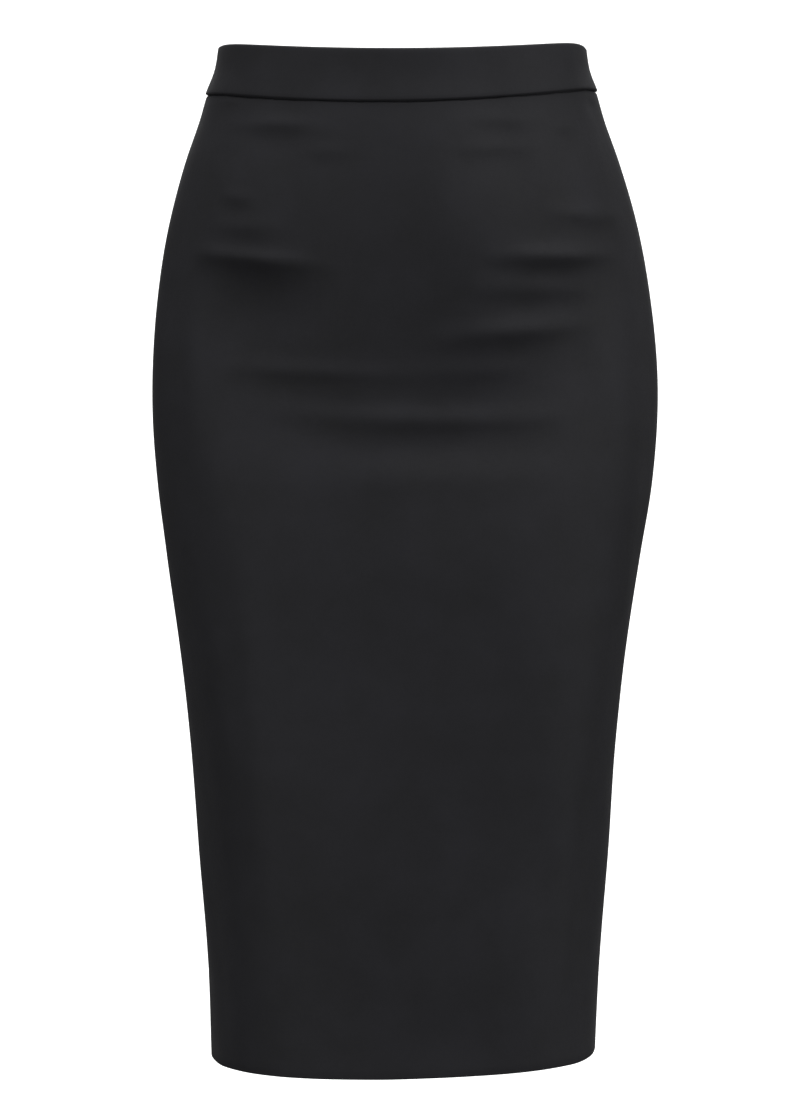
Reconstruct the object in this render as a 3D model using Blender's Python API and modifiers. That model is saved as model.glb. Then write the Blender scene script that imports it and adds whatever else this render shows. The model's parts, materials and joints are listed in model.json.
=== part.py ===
"""A pencil skirt with a contoured waistband, in the hollow form it takes when it is worn.

Metres, +Z up. The front faces -Y and the wearer's left is +X. The origin is the centre of the waist,
level with the middle of the waistband at centre front.

A place on the skirt is a bearing and a drop. The bearing runs round the body in degrees, from centre
front (0) over the wearer's left side (90) to centre back (180). The drop runs down in millimetres, from
the waistband's top edge at centre front.

Pieces: front and two back panels, a waistband in three, a concealed zip at centre back with its tapes,
slider and pull, and below it a walking slit. Each is one closed solid.
"""

import math
from collections import namedtuple

import bmesh
import bpy
import numpy as np
from mathutils import Vector

MM = 0.001

# Driving dimensions, in millimetres
BAND_HEIGHT = 35.8  # at centre front
SKIRT_LENGTH = 700.4  # at centre front, waistband and all
CLOTH_WALL = 1.2
BAND_WALL = 2.4  # the waistband is folded double
BAND_PROUD = 0.8  # the waistband stands this far outside the panels' outer face
SEAM_GAP = 0.3
ZIP_LENGTH = 205.0  # from the waistband's top edge at centre back
ZIP_PART = 1.2  # the edges over the zip lie this far apart
ZIP_CLOSE = 12.0  # over this length above the zip's end they close up to the seam
SLIT_LENGTH = 190.0
SLIT_PART = 10.0  # the slit's edges hang this far apart at the hem

LEFT_SIDE, BACK, RIGHT_SIDE = 90.0, 180.0, 270.0

# The form the skirt hangs in, in millimetres: half its width, how far its front and back lie from the
# waist's centre, how far its middle sways to the wearer's left, and how square the ring is (0 is an
# ellipse).
Section = namedtuple("Section", "drop half_width front back sway squareness")
SECTIONS = (
    Section(0, 124.8, 95.0, 95.0, 0.0, 0.010),
    Section(18, 128.0, 96.0, 97.0, 0.0, 0.010),
    Section(33, 133.8, 98.0, 100.0, 0.1, 0.012),
    Section(50, 138.8, 100.5, 105.0, 0.1, 0.014),
    Section(80, 149.1, 104.0, 113.5, 0.2, 0.015),
    Section(120, 160.2, 107.5, 121.5, 0.5, 0.014),
    Section(170, 169.2, 108.5, 127.5, 1.1, 0.012),
    Section(240, 174.8, 108.0, 128.5, 1.6, 0.012),
    Section(300, 171.3, 107.5, 124.0, 1.5, 0.016),
    Section(350, 163.8, 106.5, 117.0, 0.6, 0.022),
    Section(410, 155.2, 104.0, 110.0, 0.3, 0.028),
    Section(480, 147.2, 101.0, 103.5, 0.5, 0.034),
    Section(560, 141.8, 98.5, 98.5, 0.8, 0.038),
    Section(640, 135.9, 96.5, 95.5, 0.9, 0.040),
    Section(706, 133.4, 96.0, 94.0, 0.6, 0.040),
)

# The lines round the skirt, in millimetres. Each rises to the sides, dips to the back and rolls a little
# to the wearer's right, by that much per millimetre of width.
Line = namedtuple("Line", "drop side_rise back_dip roll")
TOP_EDGE = Line(0.0, 3.9, 9.0, 0.004)
WAIST_SEAM = Line(BAND_HEIGHT, 6.2, 9.0, 0.014)
HEM = Line(SKIRT_LENGTH, 4.1, 0.0, 0.019)

# Drag folds: a ridge above a crease. The reach is half the fold's length in degrees, the slant and the
# sag tilt and bow it in millimetres, and above and below are the ridge's and the trough's widths. steep
# is the slope of the cloth at the crease.
Fold = namedtuple("Fold", "bearing drop reach slant sag above below steep")
FOLDS = (
    Fold(-37, 146, 27, 0.14, 0, 8, 22, 0.60),
    Fold(-42, 125, 15, 0.05, 2, 8, 9, 0.24),
    Fold(42, 144, 25, 0.00, 1, 8, 14, 0.56),
    Fold(53, 116, 15, 0.12, 0, 8, 10, 0.26),
    Fold(34, 166, 23, 0.02, 0, 9, 11, 0.34),
    Fold(28, 196, 26, -0.18, 0, 9, 19, 0.50),
    Fold(-21, 223, 28, 0.12, 0, 9, 18, 0.42),
    Fold(15, 223, 20, -0.12, 0, 9, 16, 0.24),
    Fold(2, 247, 40, 0.03, 8, 10, 20, 0.46),
    Fold(152, 82, 24, -0.05, 3, 9, 13, 0.30),
    Fold(196, 95, 27, 0.06, 4, 10, 14, 0.36),
    Fold(168, 120, 22, -0.08, 3, 9, 12, 0.24),
    Fold(222, 146, 20, 0.10, 0, 9, 12, 0.26),
    Fold(140, 264, 24, 0.14, 0, 11, 15, 0.36),
    Fold(214, 276, 27, -0.12, 0, 12, 16, 0.40),
    Fold(178, 304, 26, 0.02, 6, 12, 16, 0.24),
)

# Broad shallow hollows, in millimetres but for the bearing and its span
Hollow = namedtuple("Hollow", "bearing drop span height depth")
HOLLOWS = (
    Hollow(-3, 215, 26, 70, 6.0),
    Hollow(24, 500, 9, 110, 1.6),
    Hollow(180, 330, 26, 60, 3.0),
)

# Half the step over which the slope of a face is measured, in degrees or millimetres
PROBE = 0.5

# Mesh rows down a panel: the spacing in millimetres as far as each drop
Spacing = namedtuple("Spacing", "until front back")
SPACINGS = (
    Spacing(108, 14, 14),
    Spacing(276, 7, 11),
    Spacing(380, 15, 15),
    Spacing(SKIRT_LENGTH, 29, 36),
)
FRONT_COLUMNS = 34
BACK_COLUMNS = 16
BAND_ROWS = 4
BAND_EDGE_RADIUS = 0.7

# Zip, in millimetres
TAPE_WIDTH = 13.0
TAPE_WALL = 1.0
TAPE_TOP_GAP = 3.0  # the tape ends this far below the waistband's top edge
TAPE_INSET = 2.1  # its outer face behind the panels' outer face
TAPE_COLUMNS, TAPE_ROWS = 2, 16
SLIDER_DROP = 8.0  # the pull's pivot below the waistband's top edge
PLATE_WIDTH, PLATE_WALL, PLATE_LENGTH = 3.8, 0.8, 9.0
STEM_WIDTH, STEM_LENGTH = 0.6, 5.0
BODY_WIDTH, BODY_WALL, BODY_LENGTH = 6.4, 2.0, 9.0
ARCH_BORE, ARCH_WALL, ARCH_WIDTH = 1.0, 0.8, 1.4
FUSE = 0.3  # how deep joined shapes run into each other
PULL_THICKNESS, PULL_LENGTH = 1.0, 25.0
PULL_TOP_HALF, PULL_END_RADIUS = 1.9, 3.6
PULL_CORNER = 0.3
PULL_EYE_HALF, PULL_EYE_LENGTH = 1.0, 1.7
PULL_CLEARANCE = 0.4  # between the hanging pull and the cloth

BLACK_CLOTH = (0.019, 0.019, 0.021, 1.0)
BLACK_TAPE = (0.012, 0.012, 0.013, 1.0)
BLACK_ENAMEL = (0.016, 0.016, 0.017, 1.0)


# ---------------------------------------------------------------- the cloth's form


def along_table(rows, name, drop):
    """A column's value at a drop, on a smooth curve through the table's rows."""
    drops = np.array([row.drop for row in rows], float)
    values = np.array([getattr(row, name) for row in rows], float)
    slopes = np.gradient(values, drops)
    i = np.clip(np.searchsorted(drops, drop) - 1, 0, len(drops) - 2)
    span = drops[i + 1] - drops[i]
    t = (drop - drops[i]) / span
    rise = values[i] + (values[i + 1] - values[i]) * t * t * (3 - 2 * t)
    return rise + span * t * (1 - t) * (slopes[i] * (1 - t) - slopes[i + 1] * t)


def ring(bearing, drop):
    """The smooth form's x, y, outward normal x, y, and its length per radian, in millimetres."""
    turn = np.radians(bearing)
    half_width = along_table(SECTIONS, "half_width", drop)
    front = along_table(SECTIONS, "front", drop)
    back = along_table(SECTIONS, "back", drop)
    sway = along_table(SECTIONS, "sway", drop)
    square = along_table(SECTIONS, "squareness", drop)
    half_depth = (front + back) / 2
    x = sway + half_width * (np.sin(turn) + square * np.sin(3 * turn)) / (1 - square)
    y = (back - front) / 2 - half_depth * (np.cos(turn) - square * np.cos(3 * turn)) / (1 - square)
    along_x = half_width * (np.cos(turn) + 3 * square * np.cos(3 * turn)) / (1 - square)
    along_y = half_depth * (np.sin(turn) - 3 * square * np.sin(3 * turn)) / (1 - square)
    speed = np.hypot(along_x, along_y)
    return x, y, along_y / speed, -along_x / speed, speed


def off_centre(bearing, centre):
    """Degrees from centre to bearing, the short way round."""
    return (bearing - centre + 180) % 360 - 180


def lift(bearing, drop):
    """How far folds and hollows move the cloth outwards, in millimetres."""
    total = 0.0
    for fold in FOLDS:
        across = off_centre(bearing, fold.bearing)
        along = np.clip(1 - (across / fold.reach) ** 2, 0, 1)
        below = drop - fold.drop - fold.slant * across - fold.sag * along
        width = np.where(below < 0, fold.above, fold.below)
        total = total - fold.steep * below * np.exp(-((below / width) ** 2)) * along**2
    for hollow in HOLLOWS:
        across = off_centre(bearing, hollow.bearing) / hollow.span
        down = (drop - hollow.drop) / hollow.height
        total = total - hollow.depth * np.exp(-(across**2) - down**2)
    return total


def outer_face(bearing, drop):
    """The point of the panels' outer face at a bearing and drop, in metres."""
    x, y, normal_x, normal_y, _ = ring(bearing, drop)
    out = lift(bearing, drop)
    return Vector((x + normal_x * out, y + normal_y * out, BAND_HEIGHT / 2 - drop)) * MM


def place(bearing, drop, out):
    """The point that far outside the panels' outer face, square to it, in metres."""
    across = outer_face(bearing + PROBE, drop) - outer_face(bearing - PROBE, drop)
    down = outer_face(bearing, drop + PROBE) - outer_face(bearing, drop - PROBE)
    return outer_face(bearing, drop) + down.cross(across).normalized() * out * MM


def line_drop(line, bearing):
    """The drop of one of the lines round the skirt at a bearing."""
    turn = math.radians(bearing)
    x = ring(bearing, line.drop)[0]
    back_share = ((1 - math.cos(turn)) / 2) ** 2
    return line.drop - line.side_rise * math.sin(turn) ** 2 + line.back_dip * back_share - line.roll * x


def side_half_gap(_drop):
    return SEAM_GAP / 2


def back_half_gap(drop):
    """Half the gap at centre back: open over the zip, shut below it and parting again down the slit."""
    zip_end = line_drop(TOP_EDGE, BACK) + ZIP_LENGTH
    slit_top = SKIRT_LENGTH - SLIT_LENGTH
    drops = (zip_end - ZIP_CLOSE, zip_end, slit_top, SKIRT_LENGTH)
    return np.interp(drop, drops, (ZIP_PART / 2, SEAM_GAP / 2, SEAM_GAP / 2, SLIT_PART / 2))


# A piece's edge: the seam it lies along, +1 if the piece starts there or -1 if it ends there, and the
# distance from the seam as a function of the drop.
Edge = namedtuple("Edge", "seam side half_gap")
FRONT_EDGES = (Edge(-LEFT_SIDE, 1, side_half_gap), Edge(LEFT_SIDE, -1, side_half_gap))
BACK_LEFT_EDGES = (Edge(LEFT_SIDE, 1, side_half_gap), Edge(BACK, -1, back_half_gap))
BACK_RIGHT_EDGES = (Edge(BACK, 1, back_half_gap), Edge(RIGHT_SIDE, -1, side_half_gap))


def edge_bearing(edge, drop):
    return edge.seam + edge.side * math.degrees(edge.half_gap(drop) / ring(edge.seam, drop)[4])


# ---------------------------------------------------------------- pieces of cloth


def material(name, colour, roughness, metallic=0.0):
    made = bpy.data.materials.new(name)
    made.use_nodes = True
    shader = made.node_tree.nodes["Principled BSDF"]
    shader.inputs["Base Color"].default_value = colour
    shader.inputs["Roughness"].default_value = roughness
    shader.inputs["Metallic"].default_value = metallic
    return made


def add_object(name, data, collection, finish):
    made = bpy.data.objects.new(name, data)
    collection.objects.link(made)
    if finish:
        data.materials.append(finish)
    return made


def panel_rows(column):
    """Shares of a panel's length at which its rows lie, from the hem up to the waist seam."""
    drops = [BAND_HEIGHT]
    for spacing in SPACINGS:
        step = getattr(spacing, column)
        count = max(1, round((spacing.until - drops[-1]) / step))
        drops += list(np.linspace(drops[-1], spacing.until, count + 1)[1:])
    return [(SKIRT_LENGTH - drop) / (SKIRT_LENGTH - BAND_HEIGHT) for drop in reversed(drops)]


def cloth(name, collection, finish, columns, rows, edges, top, bottom, out, wall):
    """A piece of cloth between two edges and two lines, as an open sheet with a wall on its inside.

    rows are shares of the height from the bottom line (0) to the top line (1).
    """
    start, end = edges
    mesh = bmesh.new()
    bmesh.ops.create_grid(mesh, x_segments=columns, y_segments=len(rows) - 1, size=1.0)
    for vertex in mesh.verts:
        across = (vertex.co.x + 1) / 2
        row = rows[round((vertex.co.y + 1) / 2 * (len(rows) - 1))]
        bearing = start.seam + (end.seam - start.seam) * across
        low, high = bottom(bearing), top(bearing)
        drop = low + (high - low) * row
        first, last = edge_bearing(start, drop), edge_bearing(end, drop)
        vertex.co = place(first + (last - first) * across, drop, out)
    data = bpy.data.meshes.new(name)
    mesh.to_mesh(data)
    mesh.free()
    data.shade_smooth()
    piece = add_object(name, data, collection, finish)
    solidify = piece.modifiers.new("wall", "SOLIDIFY")
    solidify.thickness = wall * MM
    solidify.offset = -1
    solidify.use_even_offset = True
    solidify.use_quality_normals = True
    return piece


def add_panels(collection, finish):
    def top(bearing):
        return line_drop(WAIST_SEAM, bearing) + SEAM_GAP

    def bottom(bearing):
        return line_drop(HEM, bearing)

    for name, columns, spacing, edges in (
        ("front_panel", FRONT_COLUMNS, "front", FRONT_EDGES),
        ("back_panel_left", BACK_COLUMNS, "back", BACK_LEFT_EDGES),
        ("back_panel_right", BACK_COLUMNS, "back", BACK_RIGHT_EDGES),
    ):
        rows = panel_rows(spacing)
        cloth(name, collection, finish, columns, rows, edges, top, bottom, 0.0, CLOTH_WALL)


def add_waistband(collection, finish):
    def top(bearing):
        return line_drop(TOP_EDGE, bearing)

    def bottom(bearing):
        return line_drop(WAIST_SEAM, bearing)

    rows = list(np.linspace(0, 1, BAND_ROWS + 1))
    for name, columns, edges in (
        ("waistband_front", FRONT_COLUMNS, FRONT_EDGES),
        ("waistband_back_left", BACK_COLUMNS, BACK_LEFT_EDGES),
        ("waistband_back_right", BACK_COLUMNS, BACK_RIGHT_EDGES),
    ):
        band = cloth(name, collection, finish, columns, rows, edges, top, bottom, BAND_PROUD, BAND_WALL)
        bevel = band.modifiers.new("turned edges", "BEVEL")
        bevel.width = BAND_EDGE_RADIUS * MM
        bevel.segments = 1
        bevel.limit_method = "ANGLE"
        bevel.angle_limit = math.radians(60)


# ---------------------------------------------------------------- the zip at centre back


def add_zip_tapes(collection, finish):
    def top(bearing):
        return line_drop(TOP_EDGE, bearing) + TAPE_TOP_GAP

    def bottom(bearing):
        return line_drop(TOP_EDGE, bearing) + ZIP_LENGTH

    def half_part(_drop):
        return ZIP_PART / 2

    def outer_edge(_drop):
        return TAPE_WIDTH

    rows = list(np.linspace(0, 1, TAPE_ROWS + 1))
    for name, edges in (
        ("zip_tape_left", (Edge(BACK, -1, outer_edge), Edge(BACK, -1, half_part))),
        ("zip_tape_right", (Edge(BACK, 1, half_part), Edge(BACK, 1, outer_edge))),
    ):
        cloth(name, collection, finish, TAPE_COLUMNS, rows, edges, top, bottom, -TAPE_INSET, TAPE_WALL)


def box(name, collection, low, high, finish=None):
    """A box between two corners in millimetres."""
    mesh = bmesh.new()
    bmesh.ops.create_cube(mesh, size=1.0)
    for vertex in mesh.verts:
        vertex.co = [(low[i] + (high[i] - low[i]) * (vertex.co[i] + 0.5)) * MM for i in range(3)]
    data = bpy.data.meshes.new(name)
    mesh.to_mesh(data)
    mesh.free()
    return add_object(name, data, collection, finish)


def rod(name, collection, radius, half_length, height):
    """A round rod along X, its axis at that height (local Y), in millimetres."""
    mesh = bmesh.new()
    bmesh.ops.create_cone(
        mesh,
        cap_ends=True,
        segments=24,
        radius1=radius * MM,
        radius2=radius * MM,
        depth=2 * half_length * MM,
    )
    for vertex in mesh.verts:
        x, y, z = vertex.co
        vertex.co = (z, y + height * MM, -x)
    data = bpy.data.meshes.new(name)
    mesh.to_mesh(data)
    mesh.free()
    return add_object(name, data, collection, None)


def combine(target, other, operation):
    step = target.modifiers.new(other.name, "BOOLEAN")
    step.operation = operation
    step.object = other


def zip_frame():
    """Where the slider sits: its point on the waistband's outer face, and the face's lean from upright."""
    drop = line_drop(TOP_EDGE, BACK) + SLIDER_DROP
    half = PLATE_LENGTH / 2
    above = place(BACK, drop - half, BAND_PROUD)
    below = place(BACK, drop + half, BAND_PROUD)
    lean = math.atan2(below.y - above.y, above.z - below.z)
    return place(BACK, drop, BAND_PROUD), lean, drop


def pull_pivot():
    """The pull's pivot in world space, and its height over the waistband's face in millimetres."""
    seat, lean, _ = zip_frame()
    height = SEAM_GAP + PLATE_WALL + ARCH_BORE
    outward = Vector((0, math.cos(lean), math.sin(lean)))
    return seat + outward * height * MM, height


def add_slider(collection, cutters, finish):
    """Outer plate with an arch for the pull, a stem through the gap, and a body behind the tapes."""
    seat, lean, _ = zip_frame()
    plate_top = SEAM_GAP + PLATE_WALL
    axis_height = pull_pivot()[1]
    body_top = -(BAND_WALL + SEAM_GAP + TAPE_WALL + 2 * SEAM_GAP)
    half_plate, half_body = PLATE_WIDTH / 2, BODY_WIDTH / 2
    slider = box(
        "zip_slider",
        collection,
        (-half_plate, SEAM_GAP, -PLATE_LENGTH / 2),
        (half_plate, plate_top, PLATE_LENGTH / 2),
        finish,
    )
    stem = box(
        "slider_stem",
        cutters,
        (-STEM_WIDTH / 2, body_top - FUSE, -STEM_LENGTH / 2),
        (STEM_WIDTH / 2, SEAM_GAP + FUSE, STEM_LENGTH / 2),
    )
    body = box(
        "slider_body",
        cutters,
        (-half_body, body_top - BODY_WALL, -BODY_LENGTH / 2),
        (half_body, body_top, BODY_LENGTH / 2),
    )
    arch = rod("slider_arch", cutters, ARCH_BORE + ARCH_WALL, ARCH_WIDTH / 2, axis_height)
    bore = rod("slider_bore", cutters, ARCH_BORE, ARCH_WIDTH, axis_height)
    for other in (stem, body, arch):
        combine(slider, other, "UNION")
    combine(slider, bore, "DIFFERENCE")
    for piece in (slider, stem, body, arch, bore):
        piece.location = seat
        piece.rotation_euler = (lean, 0, 0)
    for helper in (stem, body, arch, bore):
        helper.hide_render = True
        helper.display_type = "WIRE"


def pull_lean():
    """The lean at which the hanging pull just clears the cloth below it."""
    pivot, _ = pull_pivot()
    drop = zip_frame()[2]
    leans = []
    for down in np.linspace(PLATE_LENGTH, PULL_LENGTH, 12):
        cloth_point = place(BACK, drop + down, BAND_PROUD)
        clear = (PULL_THICKNESS / 2 + PULL_CLEARANCE) * MM
        leans.append(math.atan2(cloth_point.y + clear - pivot.y, pivot.z - cloth_point.z))
    return max(leans)


def pull_outline():
    """The drop-shaped pull from above its pivot to its round end, as x and z in millimetres."""
    top_z = PULL_THICKNESS / 2
    end_z = PULL_END_RADIUS - PULL_LENGTH
    turns = np.linspace(0, math.pi, 17)
    end = [(PULL_END_RADIUS * math.cos(turn), end_z - PULL_END_RADIUS * math.sin(turn)) for turn in turns]
    top = [
        (-PULL_TOP_HALF, top_z - PULL_CORNER),
        (-PULL_TOP_HALF + PULL_CORNER, top_z),
        (PULL_TOP_HALF - PULL_CORNER, top_z),
        (PULL_TOP_HALF, top_z - PULL_CORNER),
    ]
    return top + end


def add_pull(collection, finish):
    """A flat drop with an eye: the bar over the eye runs through the slider's arch and is the pivot."""
    data = bpy.data.curves.new("zip_pull", "CURVE")
    data.dimensions = "2D"
    data.fill_mode = "BOTH"
    data.extrude = PULL_THICKNESS / 2 * MM
    half_bar = PULL_THICKNESS / 2
    eye_end = -half_bar - PULL_EYE_LENGTH
    eye = [
        (-PULL_EYE_HALF, -half_bar),
        (PULL_EYE_HALF, -half_bar),
        (PULL_EYE_HALF, eye_end),
        (-PULL_EYE_HALF, eye_end),
    ]
    for outline in (pull_outline(), eye):
        spline = data.splines.new("POLY")
        spline.points.add(len(outline) - 1)
        for point, (x, z) in zip(spline.points, outline, strict=True):
            point.co = (x * MM, z * MM, 0, 1)
        spline.use_cyclic_u = True
    pull = add_object("zip_pull", data, collection, finish)
    pull.location, _ = pull_pivot()
    pull.rotation_euler = (math.pi / 2 + pull_lean(), 0, 0)
    return pull


def main():
    for old in list(bpy.data.objects):
        bpy.data.objects.remove(old)
    skirt = bpy.data.collections.new("pencil_skirt")
    cutters = bpy.data.collections.new("cutters")
    for collection in (skirt, cutters):
        bpy.context.scene.collection.children.link(collection)
    twill = material("black_twill", BLACK_CLOTH, 0.85)
    tape = material("zip_tape", BLACK_TAPE, 0.9)
    enamel = material("black_enamel", BLACK_ENAMEL, 0.35)
    add_panels(skirt, twill)
    add_waistband(skirt, twill)
    add_zip_tapes(skirt, tape)
    add_slider(skirt, cutters, enamel)
    add_pull(skirt, enamel)


main()
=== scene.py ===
"""How the pencil skirt looks: cloth, waistband, concealed zip, light and camera.

A place on the skirt is a bearing and a drop, as in the CAD source. The bearing runs round the body in
degrees, from centre front (0) over the wearer's left side (90) to centre back (180). The drop runs down
in millimetres, from the waistband's top edge at centre front. Lengths are in millimetres up to place(),
which gives metres in the frame's axes.
"""

import json
import math
from collections import namedtuple

import bmesh
import bpy
import numpy as np
from mathutils import Vector
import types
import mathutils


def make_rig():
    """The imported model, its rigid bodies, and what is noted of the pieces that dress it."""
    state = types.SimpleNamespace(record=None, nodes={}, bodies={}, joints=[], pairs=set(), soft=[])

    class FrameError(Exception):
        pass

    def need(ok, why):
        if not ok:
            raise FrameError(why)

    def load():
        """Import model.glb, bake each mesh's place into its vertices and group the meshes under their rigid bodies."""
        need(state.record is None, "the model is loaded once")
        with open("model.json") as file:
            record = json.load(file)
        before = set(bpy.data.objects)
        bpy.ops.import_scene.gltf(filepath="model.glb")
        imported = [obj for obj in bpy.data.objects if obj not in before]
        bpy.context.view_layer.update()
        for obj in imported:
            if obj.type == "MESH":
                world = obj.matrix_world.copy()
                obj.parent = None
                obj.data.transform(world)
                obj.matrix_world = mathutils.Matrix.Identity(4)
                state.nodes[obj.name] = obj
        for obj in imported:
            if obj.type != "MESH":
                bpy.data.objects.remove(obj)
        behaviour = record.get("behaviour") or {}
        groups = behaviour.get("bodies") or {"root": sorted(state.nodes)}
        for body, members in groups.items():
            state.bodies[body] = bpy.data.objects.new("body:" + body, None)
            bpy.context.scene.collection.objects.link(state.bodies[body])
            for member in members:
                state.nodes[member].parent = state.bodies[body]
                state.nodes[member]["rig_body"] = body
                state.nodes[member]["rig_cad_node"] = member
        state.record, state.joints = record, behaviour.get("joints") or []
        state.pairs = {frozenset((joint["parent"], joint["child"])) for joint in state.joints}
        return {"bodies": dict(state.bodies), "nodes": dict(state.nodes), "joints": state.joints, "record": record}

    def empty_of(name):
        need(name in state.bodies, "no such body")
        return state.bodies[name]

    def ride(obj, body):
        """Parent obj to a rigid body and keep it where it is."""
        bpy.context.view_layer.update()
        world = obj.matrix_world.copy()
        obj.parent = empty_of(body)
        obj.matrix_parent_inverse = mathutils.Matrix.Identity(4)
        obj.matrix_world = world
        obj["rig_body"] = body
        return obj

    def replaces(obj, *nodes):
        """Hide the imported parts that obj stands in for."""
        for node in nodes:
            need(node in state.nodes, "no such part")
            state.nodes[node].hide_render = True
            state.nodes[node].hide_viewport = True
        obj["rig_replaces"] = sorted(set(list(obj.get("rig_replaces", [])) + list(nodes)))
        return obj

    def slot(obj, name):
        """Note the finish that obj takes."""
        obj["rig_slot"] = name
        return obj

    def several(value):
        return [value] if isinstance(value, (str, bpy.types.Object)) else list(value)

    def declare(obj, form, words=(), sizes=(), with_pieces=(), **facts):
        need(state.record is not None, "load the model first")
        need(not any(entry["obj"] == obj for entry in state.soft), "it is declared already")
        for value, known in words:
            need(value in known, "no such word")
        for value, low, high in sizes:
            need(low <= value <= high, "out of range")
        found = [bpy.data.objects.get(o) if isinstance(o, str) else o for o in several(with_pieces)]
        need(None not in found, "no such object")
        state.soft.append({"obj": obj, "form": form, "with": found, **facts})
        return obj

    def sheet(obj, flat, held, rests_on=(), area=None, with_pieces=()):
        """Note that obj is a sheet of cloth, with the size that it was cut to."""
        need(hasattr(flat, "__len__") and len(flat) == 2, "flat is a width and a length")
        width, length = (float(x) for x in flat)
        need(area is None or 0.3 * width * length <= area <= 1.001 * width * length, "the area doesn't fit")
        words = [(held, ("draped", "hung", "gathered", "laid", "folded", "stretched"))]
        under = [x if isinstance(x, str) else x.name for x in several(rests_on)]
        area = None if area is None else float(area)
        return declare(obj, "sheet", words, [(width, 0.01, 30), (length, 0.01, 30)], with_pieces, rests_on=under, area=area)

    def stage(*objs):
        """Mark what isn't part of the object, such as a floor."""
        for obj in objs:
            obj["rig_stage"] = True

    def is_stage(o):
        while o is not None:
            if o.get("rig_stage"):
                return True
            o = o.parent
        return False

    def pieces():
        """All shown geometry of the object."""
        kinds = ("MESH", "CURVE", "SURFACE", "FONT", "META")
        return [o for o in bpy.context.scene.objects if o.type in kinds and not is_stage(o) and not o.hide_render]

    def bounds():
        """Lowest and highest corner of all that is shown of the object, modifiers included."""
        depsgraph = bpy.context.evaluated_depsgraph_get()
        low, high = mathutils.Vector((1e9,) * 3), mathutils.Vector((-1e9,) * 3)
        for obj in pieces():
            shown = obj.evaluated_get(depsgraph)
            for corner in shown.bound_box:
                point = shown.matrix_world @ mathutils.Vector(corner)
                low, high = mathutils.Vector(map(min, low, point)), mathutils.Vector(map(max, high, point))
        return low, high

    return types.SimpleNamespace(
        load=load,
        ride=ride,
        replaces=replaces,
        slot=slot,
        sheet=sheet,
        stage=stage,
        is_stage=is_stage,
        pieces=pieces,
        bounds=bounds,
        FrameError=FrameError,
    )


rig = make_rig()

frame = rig.load()
cad_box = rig.bounds()

MM = 0.001
SKIRT = "skirt"  # the body that every piece of cloth rides on

# ---------------------------------------------------------------- sizes

# As in the CAD source, but the sections and lines further down depart from it by up to a few millimetres
BAND_HEIGHT = 35.8
SKIRT_LENGTH = 700.4
BAND_PROUD = 1.3
ZIP_LENGTH = 205.0
ZIP_PART = 1.2
ZIP_CLOSE = 12.0
SLIT_LENGTH = 190.0
SLIT_PART = 10.0
PANEL_LENGTH = SKIRT_LENGTH - BAND_HEIGHT

LEFT_SIDE, BACK, RIGHT_SIDE = 90.0, 180.0, 270.0

Section = namedtuple("Section", "drop half_width front back sway squareness")
SECTIONS = (
    Section(0, 124.6, 95.0, 95.0, 0.3, 0.010),
    Section(18, 127.7, 96.0, 97.0, 0.3, 0.012),
    Section(33, 133.5, 98.0, 100.0, 0.3, 0.006),
    Section(50, 138.4, 100.5, 105.0, 0.3, 0.006),
    Section(80, 148.8, 104.0, 113.5, 0.4, 0.004),
    Section(120, 159.9, 107.5, 121.5, 0.9, 0.000),
    Section(170, 168.8, 108.5, 127.5, 1.7, 0.000),
    Section(240, 174.2, 108.0, 128.5, 2.0, 0.008),
    Section(300, 171.0, 107.5, 124.0, 1.6, 0.021),
    Section(350, 163.8, 106.5, 117.0, 0.6, 0.033),
    Section(410, 155.2, 104.0, 110.0, 0.3, 0.047),
    Section(480, 147.2, 101.0, 103.5, 0.5, 0.055),
    Section(560, 141.8, 98.5, 98.5, 0.8, 0.047),
    Section(640, 135.9, 96.5, 95.5, 0.9, 0.045),
    Section(706, 133.4, 96.0, 94.0, 0.6, 0.031),
)

Line = namedtuple("Line", "drop side_rise back_dip roll left_dip right_dip")
TOP_EDGE = Line(0.0, 3.9, 9.0, 0.004, 4.0, 2.0)
WAIST_SEAM = Line(35.5, 6.4, 9.0, 0.014, 2.6, 1.0)
HEM = Line(SKIRT_LENGTH, 2.5, 0.0, 0.019, 0.0, 0.0)
DIP_SPAN = 16.0  # the dips lie within about this many degrees of the side seams

# A fold is a ridge above a crease. The reach is half its length in degrees, slant and sag tilt and bow
# it in millimetres, above and below are the widths of the ridge and of the cloth's way back out.
Fold = namedtuple("Fold", "bearing drop reach slant sag above below steep")
MAIN_FOLDS = (
    Fold(-38.4, 146.6, 25.6, 0.16, -0.3, 7.0, 31.0, 0.75),
    Fold(-42.4, 123.7, 15.8, 0.05, 1.9, 8.0, 12.2, 0.22),
    Fold(40.4, 144.2, 25.4, 0.01, 0.8, 8.1, 21.0, 0.61),
    Fold(52.3, 117.1, 19.3, 0.12, 1.1, 8.1, 16.3, 0.26),
    Fold(34.1, 167.0, 23.8, 0.05, 1.1, 10.3, 19.3, 0.31),
    Fold(27.1, 195.9, 27.7, -0.19, 0.0, 9.8, 27.0, 0.44),
    Fold(-22.2, 222.4, 29.0, 0.08, 0.0, 7.9, 13.6, 0.42),
    Fold(14.8, 222.8, 23.5, -0.11, -0.1, 9.5, 24.9, 0.23),
    Fold(1.7, 248.1, 44.8, 0.06, 8.0, 10.0, 15.2, 0.41),
    Fold(152, 82, 24, -0.05, 3, 9, 15, 0.30),
    Fold(196, 95, 27, 0.06, 4, 10, 16, 0.36),
    Fold(168, 120, 22, -0.08, 3, 9, 14, 0.24),
    Fold(222, 146, 20, 0.10, 0, 9, 14, 0.26),
    Fold(140, 264, 24, 0.14, 0, 11, 17, 0.36),
    Fold(214, 276, 27, -0.12, 0, 12, 18, 0.40),
    Fold(178, 304, 26, 0.02, 6, 12, 18, 0.24),
)
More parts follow.
